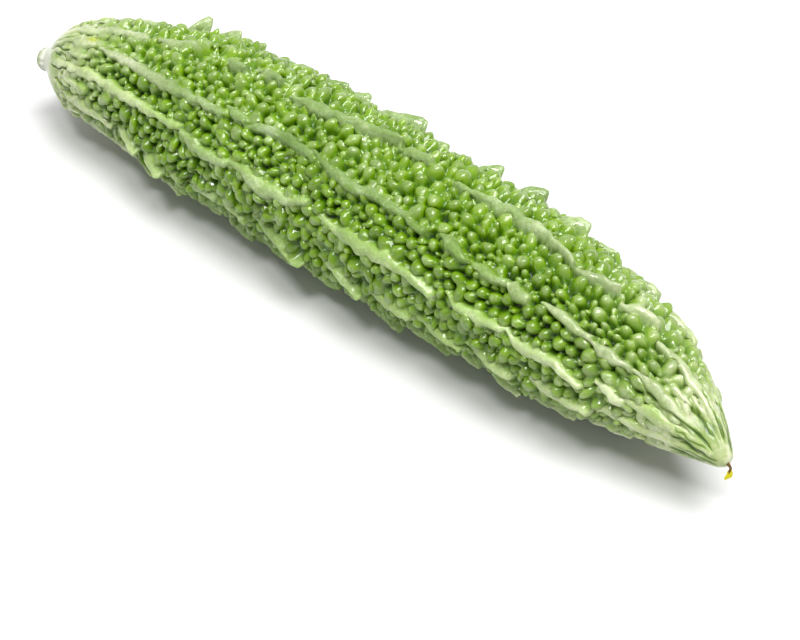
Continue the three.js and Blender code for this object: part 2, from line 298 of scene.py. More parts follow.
def bar(line, width, height, fin, rim, rim_light, shade, keeps_warts_off=True):
    """A worm-shaped lump along a wandering line. Its top is the height plus the fin times a power
    of the share of its length. It falls off as one less a power of the reach, itself raised to a
    power. The reach is the root of the squares of the distance to the side in half widths and that
    past the ends."""
    shares, angles = np.array(line, float).T
    first, last = shares[0] * FRUIT_LENGTH, shares[-1] * FRUIT_LENGTH
    near_an_end = shares[0] <= 0.1 or shares[-1] >= 0.9  # where a bar's width spans more degrees
    spare_degrees = 60 if near_an_end else 18
    low_angle, high_angle = angles.min() - spare_degrees, angles.max() + spare_degrees
    rows, columns = patch(first - 3, last + 3, low_angle, high_angle)
    window = np.ix_(rows, columns)
    at = rows * STEP
    progress = np.clip((at - first) / (last - first), 0, 1)
    per_degree = np.radians(1.0) * np.maximum(radius[rows], 1.0)
    centre = through(line, rows / ROWS) + WANDER * ripple(at, 6, 5, 20) / per_degree
    across = round_part(turn[columns][None, :] - centre[:, None]) * per_degree[:, None]
    across = across + 0.5 * warp_round[window]

    # It starts narrow, and a tall fin ends thin.
    thin_end = min(0.5, 0.3 + 0.06 * fin)
    shape = 0.5 + 0.5 * smooth_step(progress / 0.3)
    shape = shape * (1 - thin_end * smooth_step((progress - 0.45) / 0.55))
    shape = shape * (0.75 + 0.25 * relief[rows]) * (1 + 0.13 * ripple(at, 5, 9, 34))
    left = width / 2 * shape * (1 + 0.13 * ripple(at, 7, 5, 15))
    right = width / 2 * shape * (1 + 0.13 * ripple(at, 7, 5, 15))
    half = np.maximum(np.where(across < 0, left[:, None], right[:, None]), 0.35)
    before_start = np.clip(first - at, 0, None) / 2.2
    past_end = np.clip(at - last, 0, None) / (1.1 + 0.2 * fin)
    beyond = (before_start + past_end)[:, None]
    reach = np.sqrt((across / (half * 1.5)) ** 2 + beyond**2)

    # It climbs to its fin, and its edge is raised.
    climb = progress ** (1.7 - 0.13 * fin) * (1 - 0.15 * smooth_step((progress - 0.82) / 0.18))
    top = height * (0.8 + 0.2 * smooth_step(progress / 0.35)) + fin * climb
    top = (top + 0.2 * ripple(at, 6, 5, 16))[:, None] + 0.04 * knobs[window]
    bulge = max(1.9, 3.0 - 0.25 * fin)
    lift = top * np.clip(1 - np.clip(reach, 0, 1) ** bulge, 0, 1) ** 0.6
    raised = bell((reach - 0.66) / 0.12) - 0.5 * bell(reach / 0.4)
    lift = lift + rim * raised * (lift > 0)
    crest_part = smooth_step((0.92 - reach) / 0.3)
    # Painted rim light: a pale line at the bar's edge, full on its lower side and a quarter on its
    # upper, and faint over its crest.
    rim_light_part = bell((reach - 0.76) / 0.1) * np.where(across > 0, 1.0, 0.25)
    rim_light_part = rim_light * np.maximum(rim_light_part, 0.22 * crest_part)
    throw_up(rows, columns, lift, top, crest_part, rim_light_part, shade, (0.05 + 0.008 * fin, 0))
    if keeps_warts_off:
        off = np.hypot(np.clip(np.abs(across) - half * 0.85, 0, None), beyond * 1.4)
        off = np.where(reach < 0.6, -1.0, off)
        ridge_edge[window] = np.minimum(ridge_edge[window], off)


# The front ridges pale towards both ends: stretches where their bars are greener, as (first share,
# last share, how much less pale).
PALE_RIDGES = ("front", "low_front")
GREENER_STRETCHES = [(0.2, 0.45, 0.9), (0.45, 0.55, 0.3)]
for ridge, bars in RIDGE_PIECES.items():
    rim, rim_light, paleness, proud = RIDGE_LOOKS[ridge]
    for fin, line in bars:
        bar_start = line[0][0]
        greener = 0.0
        for first, last, less in GREENER_STRETCHES:
            if ridge in PALE_RIDGES and first < bar_start < last:
                greener = less
        # Their paleness; on the front ridges it is partly painted light, as if lit from the front.
        shade = np.clip(paleness - greener + draw.uniform(-0.25, 0.25), 0, 1.6)
        width = CREST_WIDTH * draw.uniform(0.88, 1.15)
        bar(line, width, CREST_HEIGHT + proud * (bar_start > 0.2), fin, rim, rim_light, shade)


def stray_line(first, last, degrees, at_middle, at_end):
    """Line from the first share to the last. It starts at the angle, and strays from it by up to
    so many degrees at its middle and at its end."""
    middle_degrees = degrees + draw.uniform(-at_middle, at_middle)
    end_degrees = degrees + draw.uniform(-at_end, at_end)
    return [(first, degrees), ((first + last) / 2, middle_degrees), (last, end_degrees)]


for ridge_angle, start, bars in FAR_RIDGES:
    for end, fin in bars:
        degrees = ridge_angle + draw.uniform(-3, 3)
        line = stray_line(start + draw.uniform(0.002, 0.012), end, degrees, 2.5, 3)
        width = CREST_WIDTH * draw.uniform(0.8, 1.15)
        bar(line, width, CREST_HEIGHT, fin, FAR_RIM, FAR_RIM_LIGHT, draw.uniform(0.3, 0.9))
        start = end

# Folds: long flat bars that the neck and the blossom end carry in place of warts. Each set of them
# is (first share, last share, degrees between two folds, width).
FOLD_HEIGHT = 5.0
FOLDS = [(0.0, 0.06, 20, 4.0), (0.046, 0.08, 18, 2.6), (0.925, 1.0, 30, 3.6)]
FOLD_LOOKS = {"fin": 0.3, "rim": 0.12, "rim_light": 0.2, "shade": 0.5}
for first, last, spread, width in FOLDS:
    for fold_angle in np.arange(0, 360, spread):
        degrees = fold_angle + draw.uniform(-3, 3)
        start = first + draw.uniform(0, 0.012) * (first > 0)
        end = last + draw.uniform(-0.012, 0.012)
        line = stray_line(start, end, degrees, 4, 5)
        fold_width = width * draw.uniform(0.85, 1.15)
        height = FOLD_HEIGHT * draw.uniform(0.8, 1.1)
        bar(line, fold_width, height, **FOLD_LOOKS, keeps_warts_off=False)

# ---- fruit: warts -----------------------------------------------------------
# Between the ridges the skin is packed with round warts of the same flesh. They
# press against each other and lean a little to the blossom end, and small ones
# fill the gaps.

# Some warts stand up as lobes: share of the length, degrees, half length, half width, way of
# the length in degrees from the axis towards -Y, height, how blunt, and lean in shares of the
# height towards the blossom end and towards -Y.
LOBES = [
    (0.232, 4, 4.6, 2.3, -25, 10.3, 1.1, 0.0, -0.05),
    (0.262, -4, 3.6, 2.7, 15, 7.4, 1.8, 0.15, -0.2),
    (0.283, 3, 3.2, 2.4, 25, 7.0, 2.0, 0.1, -0.1),
    (0.304, 12, 3.2, 3.0, 0, 6.4, 2.4, 0.05, 0.0),
    (0.306, -9, 3.2, 1.5, -50, 7.2, 2.0, 0.2, -0.1),
    (0.317, -6, 3.2, 1.4, -50, 7.4, 2.0, 0.2, -0.1),
    (0.328, -8, 3.0, 1.5, -50, 7.0, 2.0, 0.2, -0.1),
    (0.2, -30, 2.8, 2.0, 30, 7.4, 1.5, 0.3, -0.2),
    (0.355, -22, 2.8, 2.2, 60, 6.8, 1.8, 0.1, -0.2),
    (0.41, -26, 2.9, 2.0, -60, 7.0, 1.7, 0.2, -0.1),
    (0.445, -20, 3.0, 2.1, 50, 6.8, 1.7, 0.1, -0.2),
    (0.48, -30, 2.6, 2.2, 70, 7.0, 1.8, 0.2, 0.0),
    (0.53, -22, 3.0, 2.1, -50, 6.6, 1.8, 0.1, -0.1),
    (0.565, -31, 2.8, 2.3, 60, 6.8, 1.8, 0.2, -0.1),
    (0.62, -25, 3.0, 2.0, 80, 6.8, 1.6, 0.2, -0.2),
    (0.7, -27, 2.8, 2.2, 50, 6.6, 1.8, 0.1, -0.1),
    (0.37, 16, 2.8, 2.3, 70, 6.4, 2.0, 0.1, -0.1),
    (0.66, 15, 2.9, 2.3, 60, 6.4, 2.0, 0.1, -0.1),
]
LOBE_ROOT = 0.7  # the power that its dome is raised to
LOBE_SHADE = 1.3
FULLY_WAXED = 7.2  # a lump's height from which it is as waxed as its top
FIRST_WART = 0.045  # share of the length
LAST_WART = 0.955
CANDIDATES = 6000  # warts drawn, of which as many are used as there is room for
SMALL_SHARE = 0.33  # of them that are small
SMALL_RADIUS, SMALL_SPREAD = 1.6, 0.2  # mean and standard deviation
LARGE_RADIUS, LARGE_SPREAD = 2.27, 0.33
LEAST_RADIUS, MOST_RADIUS = 1.1, 3.4
PACKING = 0.96  # area of the warts over the area that they share
PACKING_ROUNDS = 45
NEIGHBOUR_REACH = 6.7  # along the fruit, about two of the largest warts' radii
# Bands along the fruit: the angle of the middle, how many fade widths it is to the outer edge, and
# the fade width in degrees.
UPPER_FLANK = (-28, 1.4, 45)  # the flank away from the main ridge, where the warts are larger
LOW_FLANK = (97, 1.6, 24)  # where the near side turns under
TOOTHED = (108, 1.5, 16)  # where the warts are more pointed
# The last two bands carry painted shade: there the warts are painted darker and more vivid.
BELOW_MAIN = (53, 1.6, 13)  # below the main ridge
TURNED_UNDER = (105, 1.5, 32)  # as deep a green as below the main ridge


def band(degrees, middle, outer_edge, fade):
    """1 near the middle of a band and 0 outside it: an S curve of the fade widths to its edge."""
    return smooth_step(outer_edge - np.abs(round_part(degrees - middle)) / fade)


def underside_shade(degrees):
    """How much painted shade the flesh gets, 0 to 1, which paints it darker and more vivid: the
    greater of the bands below the main ridge and where the side turns under."""
    return np.maximum(band(degrees, *BELOW_MAIN), band(degrees, *TURNED_UNDER))


def radius_near(at):
    """Radius over the wart tops at one place along the fruit, and at least a millimetre."""
    return max(float(through(RADIUS_AT, np.array(at / FRUIT_LENGTH))), 1.0)


def lump(at, degrees, size, stretch, heading, top, power, root, shade, lean):
    """A dome on steep sides: one less a power of the distance from its middle, itself raised to a
    power. The distance is in radii, counts for less along the heading, and wavers with the
    bearing."""
    local = radius_near(at)
    spare = size * max(stretch, 1) * 1.25 + 1.2
    spare_degrees = np.degrees(spare / local)
    rows, columns = patch(at - spare, at + spare, degrees - spare_degrees, degrees + spare_degrees)
    window = np.ix_(rows, columns)
    off_along = rows[:, None] * STEP - at + warp_along[window]
    off_round = round_part(turn[columns][None, :] - degrees) * np.radians(1.0) * local
    off_round = off_round + warp_round[window]
    cosine, sine = np.cos(heading), np.sin(heading)
    lengthwise = (off_along * cosine + off_round * sine) / stretch
    crosswise = -off_along * sine + off_round * cosine
    bearing = np.arctan2(crosswise, lengthwise)
    distance = np.hypot(lengthwise, crosswise) / (size * 1.1)
    distance = distance * (1 + draw.uniform(0, 0.09) * np.cos(2 * bearing + draw.uniform(0, 6)))
    distance = distance * (1 + draw.uniform(0, 0.06) * np.cos(3 * bearing + draw.uniform(0, 6)))
    lift = top * np.clip(1 - np.clip(distance, 0, 1) ** power, 0, 1) ** root
    throw_up(rows, columns, lift, min(top, FULLY_WAXED), 0.0, 0.0, shade, lean)


for at_share, degrees, half_length, half_width, heading, top, blunt, to_end, to_side in LOBES:
    at, stretch, lean = at_share * FRUIT_LENGTH, half_length / half_width, (to_end, to_side)
    heading = np.radians(heading)
    lump(at, degrees, half_width, stretch, heading, top, blunt, LOBE_ROOT, LOBE_SHADE, lean)

# Which way leads off the nearest bar, and how fast the distance to it grows.
edge_along = np.gradient(ridge_edge, STEP, axis=0)
edge_round = np.roll(ridge_edge, -1, 1) - np.roll(ridge_edge, 1, 1)
edge_round = edge_round / (2 * np.radians(PER_COLUMN) * radius[:, None])
steepness = np.hypot(edge_along, edge_round) + 1e-3


def cell_of(at, degrees):
    """Row and column of the grid nearest to each place."""
    rows = np.clip(np.round(at / STEP).astype(int), 0, ROWS)
    return rows, np.round(degrees / PER_COLUMN).astype(int) % COLUMNS


# Warts of drawn sizes start at drawn places of the area that the bars leave open.
open_area = np.radians(PER_COLUMN) * radius[:, None] * STEP * (ridge_edge > 0.3)
open_area = open_area * ((share > FIRST_WART) & (share < LAST_WART))[:, None]
small_ones = draw.uniform(size=CANDIDATES) < SMALL_SHARE
wart_size = np.where(
    small_ones,
    draw.normal(SMALL_RADIUS, SMALL_SPREAD, CANDIDATES),
    draw.normal(LARGE_RADIUS, LARGE_SPREAD, CANDIDATES),
)
drawn_cells = draw.choice(open_area.size, CANDIDATES, p=(open_area / open_area.sum()).ravel())
wart_at = drawn_cells // COLUMNS * STEP
wart_degrees = drawn_cells % COLUMNS * PER_COLUMN
turning_under = band(wart_degrees, *LOW_FLANK)
wart_size = np.where(small_ones & (turning_under > 0.5), wart_size * 1.2, wart_size)
where_thin = 0.6 + 0.4 * np.minimum(radius[drawn_cells // COLUMNS] / 25, 1)
upper_flank = band(wart_degrees, *UPPER_FLANK)
wart_size = wart_size * where_thin * (1 + 0.1 * upper_flank + 0.02 * turning_under)
wart_size = np.clip(wart_size, LEAST_RADIUS, MOST_RADIUS)
enough = np.searchsorted(np.cumsum(np.pi * wart_size**2), PACKING * open_area.sum())
wart_at, wart_degrees, wart_size = wart_at[:enough], wart_degrees[:enough], wart_size[:enough]


def neighbours(at, degrees):
    """Pairs of warts that are near along the fruit: the numbers of both, how far apart they are
    along it, round it and in all, and the millimetres in a degree of turn at each wart."""
    one, other = np.nonzero(np.abs(at[:, None] - at[None, :]) < NEIGHBOUR_REACH)
    one, other = one[one != other], other[one != other]
    local = np.radians(1.0) * np.maximum(through(RADIUS_AT, at / FRUIT_LENGTH), 1.0)
    off_along = at[one] - at[other]
    off_round = round_part(degrees[one] - degrees[other]) * local[one]
    return one, other, off_along, off_round, np.hypot(off_along, off_round) + 1e-6, local


# Each round, warts that overlap move nearly half of it apart, and those too near a bar move off.
for _ in range(PACKING_ROUNDS):
    one, other, off_along, off_round, apart, per_degree = neighbours(wart_at, wart_degrees)
    push = 0.45 * np.clip((wart_size[one] + wart_size[other]) - apart, 0, None) / apart
    move_along = np.bincount(one, push * off_along, enough)
    move_round = np.bincount(one, push * off_round, enough)
    cell = cell_of(wart_at, wart_degrees)
    too_near = np.clip(0.85 * wart_size - ridge_edge[cell], 0, None) / steepness[cell]
    move_along += too_near * edge_along[cell]
    move_round += too_near * edge_round[cell]
    wart_at = wart_at + np.clip(move_along, -1, 1)
    wart_at = np.clip(wart_at, FIRST_WART * FRUIT_LENGTH, LAST_WART * FRUIT_LENGTH)
    wart_degrees = wart_degrees + np.clip(move_round, -1, 1) / per_degree

# The smaller of two that are still squeezed goes, and so does one that is still on a bar.
one, other, off_along, off_round, apart, per_degree = neighbours(wart_at, wart_degrees)
same_size = wart_size[one] == wart_size[other]
is_smaller = (wart_size[one] < wart_size[other]) | (same_size & (one < other))
squeezed = (apart < 0.6 * (wart_size[one] + wart_size[other])) & is_smaller
kept = ridge_edge[cell_of(wart_at, wart_degrees)] > 0.45 * wart_size
kept[one[squeezed]] = False
warts = list(zip(wart_at[kept], wart_degrees[kept], wart_size[kept]))

# Small warts go where room is left. Each size of them is (radius, how many at most).
SMALL_WARTS = [(1.5, 300), (1.2, 300), (0.95, 160)]
CELL = 0.5  # along the fruit
CELL_TURN = 1.2  # degrees
FAR_OFF = 8.0  # beyond this along the fruit, a wart takes no room
cells_along = np.arange(0, FRUIT_LENGTH, CELL)
cells_turn = np.arange(0, 360, CELL_TURN)
cell_rows = cell_of(cells_along, 0 * cells_along)[0]
cell_columns = cell_of(0 * cells_turn, cells_turn)[1]
room = ridge_edge[np.ix_(cell_rows, cell_columns)]  # distance to the nearest wart or bar
room[(cells_along < FIRST_WART * FRUIT_LENGTH) | (cells_along > LAST_WART * FRUIT_LENGTH)] = -9


def take_room(at, degrees, size):
    """Lower the room near a wart to the distance from its edge."""
    rows = slice(max(0, int((at - FAR_OFF) / CELL)), int((at + FAR_OFF) / CELL) + 1)
    local = radius_near(at)
    off_round = round_part(cells_turn[None, :] - degrees) * np.radians(1.0) * local
    off_along = (cells_along[rows] - at)[:, None]
    room[rows] = np.minimum(room[rows], np.hypot(off_along, off_round) - size)


for wart in warts:
    take_room(*wart)
for size, most in SMALL_WARTS:
    for _ in range(most):
        free = np.flatnonzero(room.ravel() >= size * 0.84)
        if len(free) == 0:
            break
        row, column = divmod(int(free[draw.integers(len(free))]), len(cells_turn))
        degrees = cells_turn[column] + draw.uniform(-0.5, 0.5)
        wart = (cells_along[row], degrees, size * draw.uniform(0.92, 1.08))
        warts.append(wart)
        take_room(*wart)


def wart_height(size):
    """A wart's height over the clefts: it grows with its radius, and levels off towards 5.9 mm."""
    return 0.7 + 5.2 * (1 - np.exp(-size / 1.4))


# Towards the ends warts are drawn out along the fruit. On both flanks more of them are long and
# lie across it, and those of the upper flank are taller, more pointed, and lean over further.
for at, degrees, size in warts:
    drawn_out = 1 + 1.2 * (1 - float(through(RELIEF_AT, np.array(at / FRUIT_LENGTH))))
    upper = float(band(degrees, *UPPER_FLANK))
    low = float(band(degrees, *LOW_FLANK))
    tooth = float(band(degrees, *TOOTHED))
    long_one = draw.uniform() < 0.1 + 0.2 * upper + 0.3 * low
    stretch = (draw.uniform(1.25, 1.6) if long_one else draw.uniform(0.96, 1.2)) * drawn_out
    heading = draw.uniform(-0.4, 0.4) if drawn_out > 1.12 else draw.uniform(-1.5, 1.5)
    if long_one and upper + low > 0.5:
        heading = np.pi / 2 + draw.uniform(-0.5, 0.5)
    top = wart_height(size) * draw.uniform(0.84, 1.12)
    top = top * (1 + 0.2 * upper + 0.1 * low + 0.15 * tooth)
    lean = (draw.normal(0.14, 0.12), draw.normal(-0.03 - 0.14 * upper, 0.13))
    power = draw.uniform(2.1, 2.9) - 0.4 * upper - 0.5 * tooth
    root = draw.uniform(0.45, 0.55) + 0.08 * upper + 0.1 * tooth
    # Each wart's own lightness, lowered by painted shade below the main ridge and where the side
    # turns under.
    shade = draw.uniform(0, 1) - 0.55 * float(underside_shade(degrees))
    lump(at, degrees, size, stretch, heading, top, power, root, shade, lean)


def groove(line, width, depth):
    """Lower the skin along a wandering line: the depth times a bell of the distance across it in
    widths, faded in over its first two millimetres and out over its last two."""
    shares, angles = np.array(line, float).T
    first, last = shares[0] * FRUIT_LENGTH, shares[-1] * FRUIT_LENGTH
    rows, columns = patch(first, last, angles.min() - 60, angles.max() + 60)
    window = np.ix_(rows, columns)
    at = rows * STEP
    per_degree = np.radians(1.0) * np.maximum(radius[rows], 1.0)
    centre = through(line, rows / ROWS) + 0.5 * ripple(at, 6, 3, 14) / per_degree
    across = round_part(turn[columns][None, :] - centre[:, None]) * per_degree[:, None]
    faded = smooth_step((at - first) / 2) * smooth_step((last - at) / 2)
    dip = bell(across / width) * faded[:, None]
    lift_field[window] = np.clip(lift_field[window] - depth * dip, 0, None)
    # The crease's colour follows its lowered rise: painted shade, darker down in it.
    rise_field[window] = rise_field[window] * (1 - 0.95 * dip)
    crest_field[window] = crest_field[window] * (1 - dip)


# Thin creases part the folds of the neck and of the blossom end. Each set of them is (first share,
# last share, how many, greatest depth).
CREASES = [(0.012, 0.07, 20, 2.6), (0.93, 0.999, 12, 1.5), (0.945, 0.997, 24, 0.55)]
for first, last, count, deepest in CREASES:
    for crease_angle in (np.arange(count) + 0.5) * 360 / count:
        degrees = crease_angle + draw.uniform(-6, 6)
        start = first + draw.uniform(0, 0.02)
        end = last - draw.uniform(0, 0.02)
        line = stray_line(start, end, degrees, 6, 9)
        groove(line, draw.uniform(0.26, 0.46), draw.uniform(0.45, 1.0) * deepest)

# ---- fruit: skin ------------------------------------------------------------
# The skin is one closed surface. Rings of points go round the axis at the height
# of the bars and warts, and each point leans as its lump does.
SKIN_TRIANGLES = 196_000  # what the finished skin keeps
DRAWN_IN = 0.2  # how far the skin is drawn in, so that its tallest warts stay in the frame's box
KNOB_HEIGHT = 0.1  # of the small bumps all over it
SWELL = 0.45  # of the whole skin in and out

lift_field += KNOB_HEIGHT * knobs * smooth_step(lift_field / 2)
lift_field *= relief[:, None]
swell = SWELL * waves(along_grid, turn[None, :], 20, 24.0, 60.0) * relief[:, None]
lifted = (radius - (CLEFT_DEPTH + DRAWN_IN) * relief)[:, None] + lift_field + swell
angle = np.radians(turn)[None, :, None]
along, side, up = (direction[:, None, :] for direction in axis_frame(share))
outward = np.cos(angle) * up - np.sin(angle) * side
tangent = -np.cos(angle) * side - np.sin(angle) * up
points = axis_point(share)[:, None, :] + lifted[..., None] * outward
points = points + (lean_along * lift_field)[..., None] * along
points = points + (lean_round * lift_field)[..., None] * tangent
points = points + TO_FRAME
fruit_low, fruit_high = (np.array(corner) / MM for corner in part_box("fruit"))
points = np.clip(points, fruit_low, fruit_high)


def closed_skins(name, grids, values):
    """Mesh of closed skins, one to a grid: quads between neighbouring points, and a fan to one
    point at each end, which lies at the mean of that end's ring."""
    vertices, loops, starts = [], [], []
    fields = {label: [] for label in values}
    vertex_count = loop_count = 0
    for number, grid in enumerate(grids):
        rows, around = grid.shape[:2]
        vertices += [grid.reshape(-1, 3), grid[:1].mean(1), grid[-1:].mean(1)]
        at = np.arange(rows * around).reshape(rows, around)
        after = np.roll(at, -1, axis=1)
        quads = np.stack([at[:-1], after[:-1], after[1:], at[1:]], -1).ravel()
        first = np.stack([np.full(around, rows * around), after[0], at[0]], -1).ravel()
        last = np.stack([np.full(around, rows * around + 1), at[-1], after[-1]], -1).ravel()
        loops.append(np.concatenate([quads, first, last]) + vertex_count)
        sizes = np.repeat([4, 3], [len(quads) // 4, 2 * around])
        starts.append(np.cumsum(sizes) - sizes + loop_count)
        for label, field in values.items():
            on_grid = field[number]
            fields[label] += [on_grid.ravel(), [on_grid[0].mean(), on_grid[-1].mean()]]
        vertex_count += rows * around + 2
        loop_count += int(sizes.sum())
    mesh = bpy.data.meshes.new(name)
    mesh.vertices.add(vertex_count)
    mesh.vertices.foreach_set("co", (np.concatenate(vertices) * MM).astype(np.float32).ravel())
    mesh.loops.add(loop_count)
    mesh.loops.foreach_set("vertex_index", np.concatenate(loops).astype(np.int32))
    mesh.polygons.add(sum(len(part) for part in starts))
    mesh.polygons.foreach_set("loop_start", np.concatenate(starts).astype(np.int32))
    mesh.update(calc_edges=True)
    for label, field in fields.items():
        layer = mesh.attributes.new(label, "FLOAT", "POINT")
        layer.data.foreach_set("value", np.concatenate(field).astype(np.float32))
    mesh.shade_smooth()
    return mesh


def put_in_scene(name, data):
    """A new object of that name in the scene, at the origin."""
    body = bpy.data.objects.new(name, data)
    bpy.context.scene.collection.objects.link(body)
    return body


# A small yellow scar on the neck.
SCAR_SHARE = 0.083
SCAR_ANGLE = 20
HALF_SCAR_LENGTH, HALF_SCAR_WIDTH = 1.5, 1.4
scar_along = (along_grid - SCAR_SHARE * FRUIT_LENGTH) / HALF_SCAR_LENGTH
scar_round = round_part(turn[None, :] - SCAR_ANGLE) * np.radians(radius[:, None])
scar_round = scar_round / HALF_SCAR_WIDTH
skin_fields = {
    "rise": rise_field,
    "scar": bell(scar_along**2 + scar_round**2),
    "crest": crest_field * relief[:, None],
    # painted rim light along the bars' edges
    "edge": rim_light_field * relief[:, None],
    "tint": tint_field,
    "share": np.broadcast_to(share[:, None], lift_field.shape),
    # painted shade below the main ridge and where the side turns under
    "deep": np.broadcast_to(underside_shade(turn)[None, :], lift_field.shape),
    "turn_cos": np.broadcast_to(np.cos(np.radians(turn))[None, :], lift_field.shape),
    "turn_sin": np.broadcast_to(np.sin(np.radians(turn))[None, :], lift_field.shape),
}
skin_values = {label: [field] for label, field in skin_fields.items()}
fruit = put_in_scene("fruit_skin", closed_skins("fruit_skin", [points], skin_values))

# Triangles are taken out where the skin is even, and what that moves out of the box is put back.
fewer_triangles = fruit.modifiers.new("thin", "DECIMATE")
fewer_triangles.use_collapse_triangulate = True
fewer_triangles.ratio = SKIN_TRIANGLES / (2 * ROWS * COLUMNS + 2 * COLUMNS)
bpy.context.view_layer.objects.active = fruit
fruit.select_set(True)
bpy.ops.object.modifier_apply(modifier="thin")
settled = np.empty(3 * len(fruit.data.vertices), np.float32)
fruit.data.vertices.foreach_get("co", settled)
settled = np.clip(settled.reshape(-1, 3), fruit_low * MM, fruit_high * MM)
fruit.data.vertices.foreach_set("co", settled.astype(np.float32).ravel())
fruit.data.update()
fruit.data.shade_smooth()


def attribute(mesh, label):
    """Values of a point attribute of the mesh."""
    values = np.empty(len(mesh.vertices), np.float32)
    mesh.attributes[label].data.foreach_get("value", values)
    return values


def peeled_map(mesh):
    """UV map that unrolls the skin: share of the length across, and turn round the axis up to
    0.97. Faces that cross the seam go on past it."""
    loop_vertex = np.empty(len(mesh.loops), np.int32)
    mesh.loops.foreach_get("vertex_index", loop_vertex)
    across = np.clip(attribute(mesh, "share"), 0, 1)[loop_vertex]
    up_map = np.arctan2(attribute(mesh, "turn_sin"), attribute(mesh, "turn_cos")) / (2 * np.pi) % 1
    up_map = up_map[loop_vertex].reshape(-1, 3)
    crossing = np.ptp(up_map, axis=1, keepdims=True) > 0.5
    up_map = np.clip((up_map + (crossing & (up_map < 0.5))) * 0.97, 0, 1)
    layer = mesh.uv_layers.new(name="OFBake")
    layer.data.foreach_set("uv", np.stack([across, up_map.ravel()], -1).astype(np.float32).ravel())


peeled_map(fruit.data)
for label in ("turn_cos", "turn_sin"):
    fruit.data.attributes.remove(fruit.data.attributes[label])


def linear(hex_colour):
    """sRGB hex to linear RGBA."""
    raw = np.array([int(hex_colour[i : i + 2], 16) for i in (1, 3, 5)]) / 255
    value = np.where(raw <= 0.04045, raw / 12.92, ((raw + 0.055) / 1.055) ** 2.4)
    return (*value.tolist(), 1.0)


def bare_material(name):
    """A new material whose node tree is empty, and that tree."""
    material = bpy.data.materials.new(name)
    material.use_nodes = True
    material.node_tree.nodes.clear()
    return material, material.node_tree


def add(tree, kind, settings=None, links=None, stops=None):
    """A new node of a kind, with its settings and input values, its inputs linked, and a ramp's
    stops, of which the two outer ones come first. An input goes by its name or its number."""
    node = tree.nodes.new(kind)
    for key, value in (settings or {}).items():
        if isinstance(key, str) and hasattr(node, key):
            setattr(node, key, value)
        else:
            node.inputs[key].default_value = value
    for key, output in (links or {}).items():
        tree.links.new(output, node.inputs[key])
    for number, (position, colour) in enumerate(stops or []):
        elements = node.color_ramp.elements
        stop = elements[number] if number < 2 else elements.new(position)
        stop.position = position
        stop.color = linear(colour)
    return node


# Numbers of a Mix node's inputs and output, whose names repeat.
FACTOR, NUMBER_A, NUMBER_B, COLOUR_A, COLOUR_B = 0, 2, 3, 6, 7
MIXED_COLOUR = 2
# Sizes of the skin's patterns.
BLOOM_PATCH = 11.0  # patches of thicker wax
WAX_SPECKLE = 1.2  # specks in the wax
WAX_EDGE = 3.0  # raggedness of the wax next to the stalk
SKIN_GRAIN = 0.9  # coarser than real cells, so that it shows

# Gourd skin is a thin wax bloom over wet green flesh. It is painted dark down in the clefts, a
# painted shade, vivid up the sides of each wart, greyed on its top with wax and a painted sheen,
# and waxed along the ridges. Each wart has a small glint.
skin_material, skin_tree = bare_material("waxy_gourd_skin")
skin_place = add(skin_tree, "ShaderNodeTexCoord").outputs["Object"]
rise_of, crest_of, rim_light_of, tint_of, underside_shade_of, scar_of, share_of = (
    add(skin_tree, "ShaderNodeAttribute", {"attribute_name": label}).outputs["Fac"]
    for label in ("rise", "crest", "edge", "tint", "deep", "scar", "share")
)

# Flesh colour up each wart, darkest at its foot: painted shade in the clefts.
flesh_with_cleft_shade = add(skin_tree, "ShaderNodeValToRGB", {}, {"Fac": rise_of},
            [(0, "#264600"), (1, "#7F9A26"), (0.45, "#456E00"), (0.75, "#668C06")])
patchy = add(skin_tree, "ShaderNodeTexNoise",
             {"Scale": 1 / (BLOOM_PATCH * MM), "Detail": 2.0, "Roughness": 0.5},
             {"Vector": skin_place})
speckle = add(skin_tree, "ShaderNodeTexNoise",
              {"Scale": 1 / (WAX_SPECKLE * MM), "Detail": 4.0, "Roughness": 0.7},
              {"Vector": skin_place})
skin_mottle = add(skin_tree, "ShaderNodeMix", {"data_type": "FLOAT", FACTOR: 0.5},
                  {NUMBER_A: patchy.outputs["Fac"], NUMBER_B: speckle.outputs["Fac"]})
wax = add(skin_tree, "ShaderNodeValToRGB", {}, {"Fac": skin_mottle.outputs[0]},
          [(0.32, "#5E7C33"), (0.68, "#AEC093"), (0.5, "#7B9552")])
# Wart tops are greyed towards the wax colour: partly their wax, partly a painted sheen.
cap_wax_and_sheen = add(skin_tree, "ShaderNodeMapRange",
            {"From Min": 0.8, "From Max": 0.97, "To Min": 0.0, "To Max": 0.85}, {"Value": rise_of})
cap_sheen_or_crest = add(skin_tree, "ShaderNodeMath", {"operation": "MAXIMUM"},
                     {0: cap_wax_and_sheen.outputs[0], 1: crest_of})
waxed_and_sheened = add(skin_tree, "ShaderNodeMix", {"data_type": "RGBA"},
              {FACTOR: cap_sheen_or_crest.outputs[0], COLOUR_A: flesh_with_cleft_shade.outputs["Color"],
               COLOUR_B: wax.outputs["Color"]})

# Each lump has its own lightness and a slight turn of hue. In the bands of painted shade the flesh
# is painted darker and more vivid, and the front ridges' bars are painted paler.
brightness = add(skin_tree, "ShaderNodeMapRange",
                 {"From Min": -0.6, "From Max": 2.0, "To Min": 0.66, "To Max": 1.44},
                 {"Value": tint_of})
hue = add(skin_tree, "ShaderNodeMapRange",
          {"From Min": 0.0, "From Max": 1.0, "To Min": 0.504, "To Max": 0.497}, {"Value": tint_of})
shade_vividness = add(skin_tree, "ShaderNodeMapRange",
                {"To Min": 1.03, "To Max": 1.2}, {"Value": underside_shade_of})
varied = add(skin_tree, "ShaderNodeHueSaturation", {}, {
    "Hue": hue.outputs[0], "Saturation": shade_vividness.outputs[0], "Value": brightness.outputs[0],
    "Color": waxed_and_sheened.outputs[MIXED_COLOUR]})

